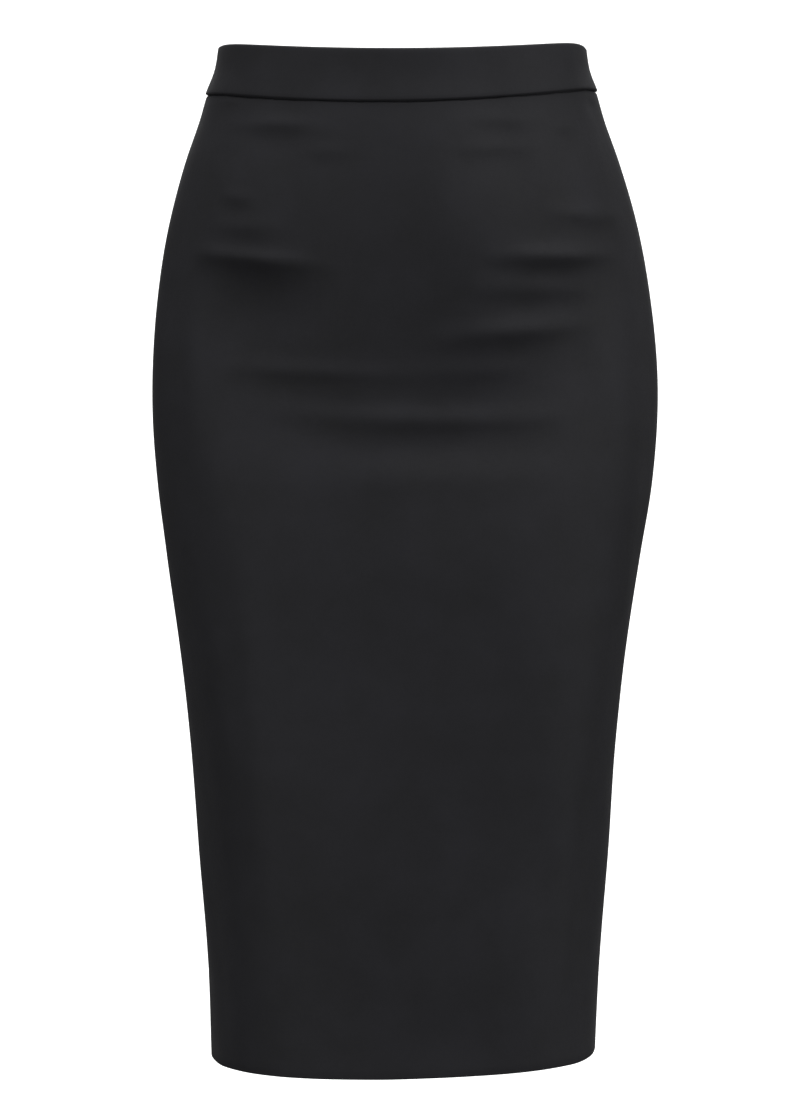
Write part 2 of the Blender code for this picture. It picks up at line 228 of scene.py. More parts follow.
SMALL_FOLDS = (
    Fold(-36.0, 54.2, 13.4, 0.05, -0.1, 5.6, 9.4, 0.23),
    Fold(-39.4, 56.1, 26.2, 0.03, -0.2, 5.2, 9.1, 0.17),
    Fold(29, 51.5, 15, 0.06, 0, 5, 8, 0.15),
    Fold(50.5, 56.5, 9, 0.00, 0, 4, 7, 0.18),
    Fold(47.5, 114, 6.5, 0.10, 0, 4, 6, 0.15),
    Fold(-20.0, 72.1, 8.8, 0.00, 0.1, 5.1, 7.4, 0.17),
    Fold(25.6, 70.5, 16.3, -0.05, 0.1, 5.8, 8.3, 0.17),
    Fold(-46.4, 104.4, 8.0, 0.20, -0.1, 5.5, 9.5, 0.23),
    Fold(-60, 39, 13, 0.02, 0, 3.5, 6, 0.12),
    Fold(-55.0, 68.0, 14.0, 0.00, 0.0, 5.0, 8.1, 0.04),
    Fold(-20.0, 200.0, 20.0, 0.00, 0.0, 8.0, 12.3, 0.04),
    Fold(145, 60, 15, 0.06, 0, 5, 9, 0.14),
    Fold(212, 68, 11, -0.05, 0, 5.5, 8, 0.20),
    Fold(128, 176, 17, -0.10, 0, 8, 17, 0.18),
    Fold(236, 204, 18, 0.09, 0, 8, 16, 0.20),
    Fold(190, 338, 18, -0.04, 2, 9, 18, 0.12),
)

# A hollow in the cloth, or a swell where the depth is below zero
Hollow = namedtuple("Hollow", "bearing drop span height depth")
HOLLOWS = (
    Hollow(70, 40, 4.5, 4.5, 0.8),
    Hollow(78.0, 84, 5.5, 47, -1.3),
    Hollow(11.7, 93, 10.9, 56, -2.1),
    Hollow(-66.8, 128, 7.5, 60, 1.6),
    Hollow(-3.6, 136, 10.3, 53, 1.0),
    Hollow(-74.9, 176, 9.5, 119, -4.5),
    Hollow(79.2, 194, 5.2, 90, -1.2),
    Hollow(-56.1, 218, 5.3, 63, -1.7),
    Hollow(-46.0, 158, 7.0, 38, 1.2),
    Hollow(-46.0, 268, 8.0, 44, -1.6),
    Hollow(-53.0, 221, 8.6, 64, -0.9),
    Hollow(-62.8, 224, 8.2, 69, -0.5),
    Hollow(-2.5, 230, 35.1, 74, 8.8),
    Hollow(63.3, 231, 8.2, 79, -0.4),
    Hollow(58.0, 276, 11.9, 81, -2.1),
    Hollow(4.3, 288, 25.1, 15, -1.7),
    Hollow(-42.0, 302, 12.2, 45, -0.7),
    Hollow(20.3, 418, 14.0, 50, 0.4),
    Hollow(-35.4, 455, 5.6, 118, -1.9),
    Hollow(4.1, 457, 15.4, 57, -1.0),
    Hollow(17.6, 498, 6.9, 114, 0.8),
    Hollow(-15.5, 515, 22.6, 84, -3.6),
    Hollow(-0.5, 522, 18.5, 71, -0.8),
    Hollow(-65.3, 549, 14.9, 206, 3.1),
    Hollow(60.5, 574, 11.0, 104, 4.3),
    Hollow(-20.2, 581, 18.4, 106, -3.8),
    Hollow(-4.4, 604, 20.8, 62, -1.4),
    Hollow(13.2, 680, 12.9, 30, 2.0),
    Hollow(60, 704, 14, 28, -2.5),
    Hollow(-65, 704, 12, 24, -1.7),
    Hollow(180, 330, 26, 60, 3.0),
    Hollow(118, 560, 15, 180, 1.4),
    Hollow(243, 520, 16, 190, 1.6),
    Hollow(150, 470, 9, 100, 0.7),
    Hollow(205, 590, 16, 80, -0.9),
)

# Slow unevenness of hanging cloth: whole waves round the skirt, waves down its length, phase, height
Wave = namedtuple("Wave", "round down phase height")
WAVES = (
    Wave(7, 3.1, 0.4, 0.22),
    Wave(-11, 5.3, 2.1, 0.16),
    Wave(17, -8.9, 4.0, 0.10),
    Wave(-23, 13.7, 1.2, 0.07),
    Wave(5, 19.3, 5.2, 0.05),
)

# Two darts take in the back's waist: each a groove from the waist seam down to a drop
Dart = namedtuple("Dart", "bearing end")
DARTS = (Dart(149, 150), Dart(211, 150))
DART_DEPTH, DART_WIDTH, DART_FADE = 0.45, 0.7, 35.0
HIP_RADIUS = 130.0  # turns degrees at the back of the hips into millimetres

# The turned-up hem shows on the outside as a faint step
HEM_MARK_RISE, HEM_MARK_DEPTH, HEM_MARK_WIDTH = 62.0, 0.14, 2.5

# ---------------------------------------------------------------- how the cloth is made up

CLOTH = 0.6  # thickness
WAIST_TURN = 1.1  # a skirt piece's top edge rolls in behind the waistband with this radius
SEAM_TURN, SEAM_ALLOWANCE = 0.65, 12.0  # a seam's edge turns in with this radius, by this much
HEM_TURN, HEM_ALLOWANCE = 0.8, 60.0
BACK_ALLOWANCE = 22.0
SEAM_SHUT = 0.0  # half the gap left at a sewn seam
ZIP_HALF_PART = 0.45
WAIST_DITCH = 0.35  # half the gap at the waist seam, where the waistband's lip stands over the skirt
Pucker = namedtuple("Pucker", "round phase height")  # the stitches draw the cloth up unevenly there
PUCKERS = (Pucker(7, 0.9, 0.16), Pucker(19, 0.4, 0.14), Pucker(37, 2.6, 0.10), Pucker(71, 5.0, 0.06))
LIP_TURN = 1.2  # the waistband's lower edge, which stands over the seam
BAND_INNER_TOP, BAND_INNER_BOTTOM = 1.6, 1.95  # depths of the waistband's inner face
BAND_TUCK = 3.0  # the inner layer reaches this far below the seam
BAND_TURN = (BAND_PROUD + BAND_INNER_TOP) / 2  # the waistband folds over its top with this radius
TURN_STEPS = 6

# The zip's tapes hang behind the back edges, and its chain lies on their body side: its teeth, and a
# stop at its lower end
TAPE_TOP, TAPE_WIDTH, TAPE_DEPTH = 3.0, 13.0, 2.5
TOOTH_PITCH, TOOTH_HEIGHT, TOOTH_REACH, TOOTH_PAST, TOOTH_ROUNDING = 0.7, 0.62, 2.2, 0.7, 0.15
CHAIN_OUTER, CHAIN_INNER = 3.12, 4.1  # depths
CHAIN_START, CHAIN_STOP = 13.6, 6.0  # below the waistband's top edge, and above the zip's end
STOP_WIDTH, STOP_HEIGHT, STOP_PROUD, STOP_ROUNDING = 4.6, 3.4, 0.3, 0.4
METAL_ROUNDING = 0.15  # of the slider's and the pull's edges

# Raw edges inside are bound with an overlock thread that zigzags over them
THREAD_RADIUS, THREAD_PITCH, THREAD_REACH = 0.16, 2.4, 4.0
THREAD_TOP = 6.0  # it starts this far below the waist seam
HEM_THREAD_MARGIN = 20.0  # it ends this far from a seam, as measured round the hips
HEM_RADIUS = 110.0  # turns degrees at the hem into millimetres

# What each piece of cloth was cut to, with what is turned in at its seams and hem: greatest width and
# length, area in square metres, how it is held, what it hangs from, and what is sewn on it
Cut = namedtuple("Cut", "piece width length area held hangs_from sewn_on")
CUTS = (
    Cut("skirt_front", 488, 729, 0.325, "hung", ["band_front"], ["overlock_front"]),
    Cut("skirt_back_left", 271, 733, 0.177, "hung", ["band_back_left"], ["overlock_back_left"]),
    Cut("skirt_back_right", 271, 733, 0.177, "hung", ["band_back_right"], ["overlock_back_right"]),
    Cut("band_front", 377, 78, 0.0262, "folded", [], []),
    Cut("band_back_left", 189, 78, 0.0132, "folded", [], []),
    Cut("band_back_right", 189, 78, 0.0139, "folded", [], []),
    Cut("tape_left", 13, 202, 0.0026, "hung", ["skirt_back_left"], []),
    Cut("tape_right", 13, 202, 0.0026, "hung", ["skirt_back_right"], []),
)

PROBE = 0.4  # half the step over which the slope of a face is measured, in degrees or millimetres
HIP_DROP, HIP_SAMPLES = 240.0, 9  # the weave's map is true to length round this drop

# How finely the sheets are divided. A panel's rows come in runs, each down to a length, at a step.
PANEL_FRONT_COLUMNS, PANEL_BACK_COLUMNS = 140, 72
PANEL_RUNS = ((6.0, 1.0), (264.0, 2.8), (PANEL_LENGTH, 6.0))
DART_STEPS = (-2.4, -1.2, -0.8, -0.4, 0, 0.4, 0.8, 1.2, 2.4)  # in widths of a dart
ALLOWANCE_STEP, HEM_STEP = 4.0, 5.0
BAND_FRONT_COLUMNS, BAND_BACK_COLUMNS = 110, 56
BAND_OUTER_ROWS, BAND_FOLD_STEPS, BAND_INNER_ROWS = 15, 8, 12
TAPE_ROWS, TAPE_COLUMNS = 70, 9

# ---------------------------------------------------------------- the cloth's form


def along_table(rows, name, drop):
    """A column's value at a drop, on a smooth curve through the table's rows."""
    drops = np.array([row.drop for row in rows], float)
    values = np.array([getattr(row, name) for row in rows], float)
    slopes = np.gradient(values, drops)
    i = np.clip(np.searchsorted(drops, drop) - 1, 0, len(drops) - 2)
    span = drops[i + 1] - drops[i]
    t = (drop - drops[i]) / span
    rise = values[i] + (values[i + 1] - values[i]) * t * t * (3 - 2 * t)
    return rise + span * t * (1 - t) * (slopes[i] * (1 - t) - slopes[i + 1] * t)


def ring(bearing, drop):
    """The smooth form's x, y, outward normal x, y, and its length per radian, in millimetres."""
    turn = np.radians(bearing)
    half_width = along_table(SECTIONS, "half_width", drop)
    front = along_table(SECTIONS, "front", drop)
    back = along_table(SECTIONS, "back", drop)
    sway = along_table(SECTIONS, "sway", drop)
    square = along_table(SECTIONS, "squareness", drop)
    half_depth = (front + back) / 2
    x = sway + half_width * (np.sin(turn) + square * np.sin(3 * turn)) / (1 - square)
    y = (back - front) / 2 - half_depth * (np.cos(turn) - square * np.cos(3 * turn)) / (1 - square)
    along_x = half_width * (np.cos(turn) + 3 * square * np.cos(3 * turn)) / (1 - square)
    along_y = half_depth * (np.sin(turn) - 3 * square * np.sin(3 * turn)) / (1 - square)
    speed = np.hypot(along_x, along_y)
    return x, y, along_y / speed, -along_x / speed, speed


def off_centre(bearing, centre):
    """Degrees from centre to bearing, the short way round."""
    return (bearing - centre + 180) % 360 - 180


def lift(bearing, drop):
    """How far folds, hollows and waves move the cloth outwards, in millimetres."""
    total = np.zeros(np.broadcast(bearing, drop).shape)
    for fold in MAIN_FOLDS + SMALL_FOLDS:
        across = off_centre(bearing, fold.bearing)
        along = np.clip(1 - (across / fold.reach) ** 2, 0, 1)
        below = drop - fold.drop - fold.slant * across - fold.sag * along
        ridge = np.exp(-((below / fold.above) ** 2))
        crease = np.exp(-np.maximum(below, 0) / fold.below)
        total -= fold.steep * below * np.where(below < 0, ridge, crease) * along**2
    for hollow in HOLLOWS:
        across = off_centre(bearing, hollow.bearing) / hollow.span
        down = (drop - hollow.drop) / hollow.height
        total -= hollow.depth * np.exp(-(across**2) - down**2)
    for dart in DARTS:
        off = np.radians(off_centre(bearing, dart.bearing)) * HIP_RADIUS
        fade = np.clip((dart.end - drop) / DART_FADE, 0, 1)
        total -= DART_DEPTH * fade * np.exp(-((off / DART_WIDTH) ** 2))
    rise = SKIRT_LENGTH - drop - HEM_MARK_RISE
    total -= HEM_MARK_DEPTH * np.exp(-((rise / HEM_MARK_WIDTH) ** 2))
    for wave in WAVES:
        turns = np.radians(bearing) * wave.round + drop * MM * wave.down * math.tau / 2
        total += wave.height * np.sin(turns + wave.phase)
    return total


def outer_face(bearing, drop):
    """Points of the panels' outer face at bearings and drops, in metres."""
    x, y, normal_x, normal_y, _ = ring(bearing, drop)
    out = lift(bearing, drop)
    z = BAND_HEIGHT / 2 - drop + 0 * out
    return np.stack((x + normal_x * out, y + normal_y * out, z), axis=-1) * MM


def place(bearing, drop, depth):
    """Points that far inside the panels' outer face, square to it, in metres."""
    bearing, drop, depth = (np.asarray(a, float) for a in np.broadcast_arrays(bearing, drop, depth))
    across = outer_face(bearing + PROBE, drop) - outer_face(bearing - PROBE, drop)
    down = outer_face(bearing, drop + PROBE) - outer_face(bearing, drop - PROBE)
    normal = np.cross(down, across)
    normal /= np.linalg.norm(normal, axis=-1, keepdims=True)
    return outer_face(bearing, drop) - normal * depth[..., None] * MM


def line_drop(line, bearing):
    """The drop of one of the lines round the skirt at a bearing."""
    turn = np.radians(bearing)
    x = ring(bearing, line.drop)[0]
    back_share = ((1 - np.cos(turn)) / 2) ** 2
    dip = line.left_dip * np.exp(-((off_centre(bearing, LEFT_SIDE) / DIP_SPAN) ** 2))
    dip += line.right_dip * np.exp(-((off_centre(bearing, RIGHT_SIDE) / DIP_SPAN) ** 2))
    rise = line.side_rise * np.sin(turn) ** 2 + line.roll * x
    return line.drop + dip + line.back_dip * back_share - rise


def sewn(_drop):
    """Half the gap at a sewn seam."""
    return SEAM_SHUT


def back_part(drop):
    """Half the gap at centre back: over the zip, at the seam below it, and down the slit."""
    zip_end = line_drop(TOP_EDGE, BACK) + ZIP_LENGTH
    slit_top = SKIRT_LENGTH - SLIT_LENGTH
    drops = (zip_end - ZIP_CLOSE, zip_end, slit_top, SKIRT_LENGTH)
    return np.interp(drop, drops, (ZIP_HALF_PART, SEAM_SHUT, SEAM_SHUT, SLIT_PART / 2))


# A piece's edge: the seam it lies along, +1 if the piece starts there or -1 if it ends there, the gap to
# the seam as a function of the drop, the radius it turns in with, and how far the cloth goes on inside.
Edge = namedtuple("Edge", "seam side gap turn allowance")
FRONT_EDGES = (
    Edge(-LEFT_SIDE, 1, sewn, SEAM_TURN, SEAM_ALLOWANCE),
    Edge(LEFT_SIDE, -1, sewn, SEAM_TURN, SEAM_ALLOWANCE),
)
BACK_LEFT_EDGES = (
    Edge(LEFT_SIDE, 1, sewn, SEAM_TURN, SEAM_ALLOWANCE),
    Edge(BACK, -1, back_part, SEAM_TURN, BACK_ALLOWANCE),
)
BACK_RIGHT_EDGES = (
    Edge(BACK, 1, back_part, SEAM_TURN, BACK_ALLOWANCE),
    Edge(RIGHT_SIDE, -1, sewn, SEAM_TURN, SEAM_ALLOWANCE),
)

# ---------------------------------------------------------------- sheets of cloth

# A column of a sheet: its share of the way from the first edge's turn to the last one's, millimetres
# past that, and its depth. A row is the same from the sheet's top line to its bottom line, and also says
# how much its outer side faces down and inwards.
Column = namedtuple("Column", "share offset depth")
Row = namedtuple("Row", "share offset depth down inwards")


def turned(radius, allowance, step):
    """Offsets past the start of a turned edge, and depths, from the raw edge to where it turns."""
    flat = np.linspace(allowance, step, max(2, round(allowance / step)))
    angles = np.linspace(math.pi, 0, TURN_STEPS + 1)
    offsets = np.concatenate((flat, -radius * np.sin(angles)))
    depths = np.concatenate((np.full(len(flat), 2 * radius), radius * (1 - np.cos(angles))))
    return list(zip(offsets, depths, strict=True))


def dart_shares(edges):
    """Where columns are added so that the darts between two edges keep their form."""
    first, last = edges
    steps = np.degrees(np.array(DART_STEPS) * DART_WIDTH / HIP_RADIUS)
    places = [dart.bearing + step for dart in DARTS for step in steps]
    return [(b - first.seam) / (last.seam - first.seam) for b in places if first.seam < b < last.seam]


def columns_between(edges, count):
    """The columns of a panel: turned edge, count equal steps and those of the darts, turned edge."""
    first, last = edges
    starts = turned(first.turn, first.allowance, ALLOWANCE_STEP)
    ends = turned(last.turn, last.allowance, ALLOWANCE_STEP)
    made = [Column(0.0, offset, depth) for offset, depth in starts]
    shares = sorted([*np.linspace(0, 1, count + 1)[1:-1], *dart_shares(edges)])
    made += [Column(share, 0.0, 0.0) for share in shares]
    return made + [Column(1.0, -offset, depth) for offset, depth in ends[::-1]]


def grid_object(name, columns, rows, finish):
    """A new object with a grid of that many columns and rows, and each vertex's column and row."""
    mesh = bmesh.new()
    bmesh.ops.create_grid(mesh, x_segments=columns - 1, y_segments=rows - 1, size=1.0)
    data = bpy.data.meshes.new(name)
    mesh.to_mesh(data)
    mesh.free()
    flat = np.empty(len(data.vertices) * 3)
    data.vertices.foreach_get("co", flat)
    flat = flat.reshape(-1, 3)
    column = np.rint((flat[:, 0] + 1) / 2 * (columns - 1)).astype(int)
    row = np.rint((1 - flat[:, 1]) / 2 * (rows - 1)).astype(int)
    made = bpy.data.objects.new(name, data)
    bpy.context.scene.collection.objects.link(made)
    data.materials.append(finish)
    data.shade_smooth()
    return made, column, row


def hip_arc(edges):
    """Millimetres round the skirt from one edge's seam to the other's, at hip level."""
    first, last = edges
    speeds = ring(np.linspace(first.seam, last.seam, HIP_SAMPLES), HIP_DROP)[4]
    return math.radians(last.seam - first.seam) * float(np.mean(speeds))


def lengths_along(points):
    """How far each point of a path lies along it."""
    steps = np.hypot(*np.diff(np.array(points), axis=0).T)
    return np.concatenate(((0,), np.cumsum(steps)))


def sheet(name, edges, columns, rows, top, bottom, finish):
    """A sheet of cloth from its columns and rows, with its weave's map in metres."""
    made, column, row = grid_object(name, len(columns), len(rows), finish)
    of_column = Column(*np.array(columns)[column].T)
    of_row = Row(*np.array(rows)[row].T)
    first, last = edges
    nominal = first.seam + (last.seam - first.seam) * of_column.share
    high, low = top(nominal), bottom(nominal)
    drop = high + (low - high) * of_row.share + of_row.offset - of_column.depth * of_row.down
    depth = of_row.depth + of_column.depth * of_row.inwards
    ends = []
    for edge in edges:
        speed = ring(edge.seam, drop)[4]
        ends.append(edge.seam + edge.side * np.degrees((edge.gap(drop) + edge.turn) / speed))
    bearing = ends[0] + (ends[1] - ends[0]) * of_column.share
    bearing += np.degrees(of_column.offset / ring(bearing, drop)[4])
    data = made.data
    data.vertices.foreach_set("co", place(bearing, drop, depth).ravel())
    across = lengths_along([(c.share * hip_arc(edges) + c.offset, c.depth) for c in columns])
    length = float(np.mean(low - high))
    down = lengths_along([(r.share * length + r.offset, r.depth) for r in rows])
    corners = np.empty(len(data.loops), int)
    data.loops.foreach_get("vertex_index", corners)
    weave = data.uv_layers.new(name="weave")
    places = np.stack((across[column], -down[row]), axis=-1)[corners] * MM
    weave.data.foreach_set("uv", places.ravel())
    data.update()
    solidify = made.modifiers.new("cloth", "SOLIDIFY")
    solidify.thickness = CLOTH * MM
    solidify.offset = -1
    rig.ride(made, SKIRT)
    return made


# ---------------------------------------------------------------- materials

# The twill's grey. Its mottles are so many times as light, and have so many times as much blue.
TWILL_GREY = 0.016
DARK_MOTTLE, LIGHT_MOTTLE = (0.86, 1.19), (1.14, 1.23)


class Nodes:
    """A material under construction: makes nodes, links them and keeps them in reach."""

    def __init__(self, name):
        self.material = bpy.data.materials.new(name)
        self.material.use_nodes = True
        self.tree = self.material.node_tree
        self.shader = self.tree.nodes["Principled BSDF"]

    def add(self, kind, inputs=(), **settings):
        """A new node, with each input set to a constant or linked to another node's output."""
        node = self.tree.nodes.new(kind)
        for key, value in settings.items():
            setattr(node, key, value)
        for key, value in dict(inputs).items():
            if isinstance(value, bpy.types.NodeSocket):
                self.tree.links.new(value, node.inputs[key])
            else:
                node.inputs[key].default_value = value
        return node

    def link(self, source, key):
        """Links an output to one of the shader's inputs."""
        self.tree.links.new(source, self.shader.inputs[key])

    def ramp(self, factor, stops):
        """The colour of a ramp between two stops."""
        node = self.add("ShaderNodeValToRGB", {"Fac": factor})
        for stop, (position, colour) in zip(node.color_ramp.elements, stops, strict=True):
            stop.position, stop.color = position, colour
        return node.outputs["Color"]


def grey(value, blue=1.0):
    """An opaque grey with so many times as much blue."""
    return (value, value, value * blue, 1.0)


def twill_material():
    """Black stretch twill: fine diagonal ribs, soft mottling of the dye, and a little sheen."""
    n = Nodes("black_twill")
    weave = n.add("ShaderNodeUVMap", uv_map="weave").outputs["UV"]
    place_in = n.add("ShaderNodeTexCoord").outputs["Object"]
    ribs = n.add(
        "ShaderNodeTexWave",
        {"Vector": weave, "Scale": 900.0, "Distortion": 0.6, "Detail": 1.0},
        bands_direction="DIAGONAL",
    )
    threads = n.add("ShaderNodeTexNoise", {"Vector": weave, "Scale": 2200.0, "Detail": 2.0})
    dye = n.add(
        "ShaderNodeTexNoise",
        {"Vector": place_in, "Scale": 26.0, "Detail": 5.0, "Roughness": 0.6},
    )
    fuzz = n.add(
        "ShaderNodeTexNoise",
        {"Vector": place_in, "Scale": 420.0, "Detail": 3.0, "Roughness": 0.7},
    )
    dark, light = (grey(TWILL_GREY * value, blue) for value, blue in (DARK_MOTTLE, LIGHT_MOTTLE))
    colour = n.ramp(dye.outputs["Fac"], ((0.3, dark), (0.7, light)))
    rough = n.add(
        "ShaderNodeMapRange",
        {"Value": fuzz.outputs["Fac"], "To Min": 0.56, "To Max": 0.74},
    )
    relief = n.add(
        "ShaderNodeMath",
        {0: ribs.outputs["Fac"], 1: threads.outputs["Fac"]},
        operation="ADD",
    )
    fine = n.add(
        "ShaderNodeBump",
        {"Height": relief.outputs["Value"], "Strength": 0.25, "Distance": 0.06 * MM},
    )
    soft = n.add(
        "ShaderNodeBump",
        {
            "Height": dye.outputs["Fac"],
            "Strength": 0.35,
            "Distance": 1.2 * MM,
            "Normal": fine.outputs["Normal"],
        },
    )
    n.link(colour, "Base Color")
    n.link(rough.outputs["Result"], "Roughness")
    n.link(soft.outputs["Normal"], "Normal")
    n.shader.inputs["Specular IOR Level"].default_value = 0.32
    n.shader.inputs["Sheen Weight"].default_value = 0.04
    n.shader.inputs["Sheen Roughness"].default_value = 0.5
    return n.material


def tape_material():
    """Black zip tape, woven in fine lengthwise ribs."""
    n = Nodes("zip_tape")
    place_in = n.add("ShaderNodeTexCoord").outputs["Object"]
    ribs = n.add("ShaderNodeTexWave", {"Vector": place_in, "Scale": 420.0}, bands_direction="X")
    picks = n.add("ShaderNodeTexWave", {"Vector": place_in, "Scale": 520.0}, bands_direction="Z")
    both = n.add(
        "ShaderNodeMath",
        {0: ribs.outputs["Fac"], 1: picks.outputs["Fac"]},
        operation="MULTIPLY",
    )
    bump = n.add(
        "ShaderNodeBump",
        {"Height": both.outputs["Value"], "Strength": 0.5, "Distance": 0.1 * MM},
    )
    n.link(n.ramp(both.outputs["Value"], ((0.0, grey(0.008)), (1.0, grey(0.017)))), "Base Color")
    n.link(bump.outputs["Normal"], "Normal")
    n.shader.inputs["Roughness"].default_value = 0.8
    return n.material


def thread_material():
    """Black sewing thread, twisted and a little glossier than the cloth."""
    n = Nodes("black_thread")
    place_in = n.add("ShaderNodeTexCoord").outputs["Object"]
    twist = n.add("ShaderNodeTexNoise", {"Vector": place_in, "Scale": 1800.0, "Detail": 2.0})
    n.link(n.ramp(twist.outputs["Fac"], ((0.3, grey(0.012)), (0.7, grey(0.026)))), "Base Color")
    n.shader.inputs["Roughness"].default_value = 0.45
    return n.material


def enamel_material():
    """Black enamel on the zip's slider and pull, worn a little towards the metal on its faces."""
    n = Nodes("zip_enamel")
    place_in = n.add("ShaderNodeTexCoord").outputs["Object"]
    grain = n.add("ShaderNodeTexNoise", {"Vector": place_in, "Scale": 900.0, "Detail": 4.0})
    rough = n.add("ShaderNodeMapRange", {"Value": grain.outputs["Fac"], "To Min": 0.34, "To Max": 0.50})
    n.link(n.ramp(grain.outputs["Fac"], ((0.35, grey(0.030)), (0.8, grey(0.042)))), "Base Color")
    n.link(rough.outputs["Result"], "Roughness")
    n.shader.inputs["Metallic"].default_value = 0.2
    return n.material


# ---------------------------------------------------------------- the pieces


def panel_rows():
    """Rows from behind the waistband, down the outside, to the hem's raw edge."""
    made = []
    for angle in np.linspace(math.pi / 2, 0, TURN_STEPS + 1):
        offset, depth = -WAIST_TURN * math.sin(angle), WAIST_TURN * (1 - math.cos(angle))
        made.append(Row(0.0, offset, depth, -math.sin(angle), math.cos(angle)))
    drops = [0.0]
    for until, step in PANEL_RUNS:
        count = round((until - drops[-1]) / step)
        drops += list(np.linspace(drops[-1], until, count + 1)[1:])
    made += [Row(drop / PANEL_LENGTH, 0.0, 0.0, 0.0, 1.0) for drop in drops[1:-1]]
    hem = turned(HEM_TURN, HEM_ALLOWANCE, HEM_STEP)
    return made + [Row(1.0, -offset, depth, 0.0, 1.0) for offset, depth in hem[::-1]]


def add_panels(finish):
    """The skirt's front and its two backs."""

    def top(bearing):
        drawn_up = sum(p.height * np.sin(p.round * np.radians(bearing) + p.phase) for p in PUCKERS)
        return line_drop(WAIST_SEAM, bearing) + WAIST_DITCH + WAIST_TURN + drawn_up

    def bottom(bearing):
        return line_drop(HEM, bearing) - HEM_TURN

    rows = panel_rows()
    for name, node, edges, count in (
        ("skirt_front", "front_panel", FRONT_EDGES, PANEL_FRONT_COLUMNS),
        ("skirt_back_left", "back_panel_left", BACK_LEFT_EDGES, PANEL_BACK_COLUMNS),
        ("skirt_back_right", "back_panel_right", BACK_RIGHT_EDGES, PANEL_BACK_COLUMNS),
    ):
        columns = columns_between(edges, count)
        made = sheet(name, edges, columns, rows, top, bottom, finish)
        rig.replaces(made, node)
        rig.slot(made, "skirt_cloth")


def band_rows():
    """Rows from under the lip, up the outside, over the top fold and down the inside."""
    made = []
    for angle in np.linspace(math.pi, 0, TURN_STEPS + 1):
        offset = LIP_TURN * math.sin(angle)
        depth = LIP_TURN * (1 - math.cos(angle)) - BAND_PROUD
        made.append(Row(1.0, offset, depth, math.sin(angle), math.cos(angle)))
    outside = np.linspace(1, 0, BAND_OUTER_ROWS)[1:-1]
    made += [Row(share, 0.0, -BAND_PROUD, 0.0, 1.0) for share in outside]
    for angle in np.linspace(0, math.pi, BAND_FOLD_STEPS + 1):
        offset, depth = -BAND_TURN * math.sin(angle), BAND_TURN * (1 - math.cos(angle)) - BAND_PROUD
        made.append(Row(0.0, offset, depth, -math.sin(angle), math.cos(angle)))
    for share in np.linspace(0, 1, BAND_INNER_ROWS)[1:]:
        depth = BAND_INNER_TOP + (BAND_INNER_BOTTOM - BAND_INNER_TOP) * share
        made.append(Row(share, BAND_TUCK * share, depth, 0.0, -1.0))
    return made


def add_waistband(finish):
    """The waistband's front and its two backs, each folded double over its top."""

    def top(bearing):
        return line_drop(TOP_EDGE, bearing) + BAND_TURN

    def bottom(bearing):
        return line_drop(WAIST_SEAM, bearing) - WAIST_DITCH - LIP_TURN

    rows = band_rows()[::-1]
    angles = np.linspace(math.pi / 2, 0, TURN_STEPS + 1)
    turn = [(math.sin(angle), BAND_TURN * (1 - math.cos(angle))) for angle in angles]
    for name, node, edges, count in (
        ("band_front", "waistband_front", FRONT_EDGES, BAND_FRONT_COLUMNS),
        ("band_back_left", "waistband_back_left", BACK_LEFT_EDGES, BAND_BACK_COLUMNS),
        ("band_back_right", "waistband_back_right", BACK_RIGHT_EDGES, BAND_BACK_COLUMNS),
    ):
        first, last = (e._replace(turn=BAND_TURN) if e.seam == BACK else e for e in edges)
        columns = [Column(0.0, -first.turn * past, depth) for past, depth in turn]
        columns += [Column(share, 0.0, 0.0) for share in np.linspace(0, 1, count + 1)[1:-1]]
        columns += [Column(1.0, last.turn * past, depth) for past, depth in turn[::-1]]
        made = sheet(name, (first, last), columns, rows, top, bottom, finish)
        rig.replaces(made, node)
        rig.slot(made, "waistband_cloth")


def tape_part(_drop):
    """Half the gap between the zip's tapes."""
    return ZIP_PART / 2


def add_tapes(finish):
    """The zip's two tapes, flat behind the back edges."""

    def top(bearing):
        return line_drop(TOP_EDGE, bearing) + TAPE_TOP

    def bottom(bearing):
        return line_drop(TOP_EDGE, bearing) + ZIP_LENGTH

    rows = [Row(share, 0.0, 0.0, 0.0, 1.0) for share in np.linspace(0, 1, TAPE_ROWS)]
    offsets = np.linspace(0, TAPE_WIDTH - ZIP_PART / 2, TAPE_COLUMNS)
    left = [Column(1.0, -offset, TAPE_DEPTH) for offset in offsets[::-1]]
    right = [Column(0.0, offset, TAPE_DEPTH) for offset in offsets]
    ending, starting = (Edge(BACK, side, tape_part, 0.0, 0.0) for side in (-1, 1))
    for name, node, edges, columns in (
        ("tape_left", "zip_tape_left", (BACK_LEFT_EDGES[0], ending), left),
        ("tape_right", "zip_tape_right", (starting, BACK_RIGHT_EDGES[1]), right),
    ):
        made = sheet(name, edges, columns, rows, top, bottom, finish)
        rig.replaces(made, node)
        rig.slot(made, "zip_tape")


def round_edges(piece, radius):
    """Takes the sharpness off a piece's edges."""
    bevel = piece.modifiers.new("rounding", "BEVEL")
    bevel.width = radius * MM
    bevel.segments = 2
    bevel.limit_method = "ANGLE"


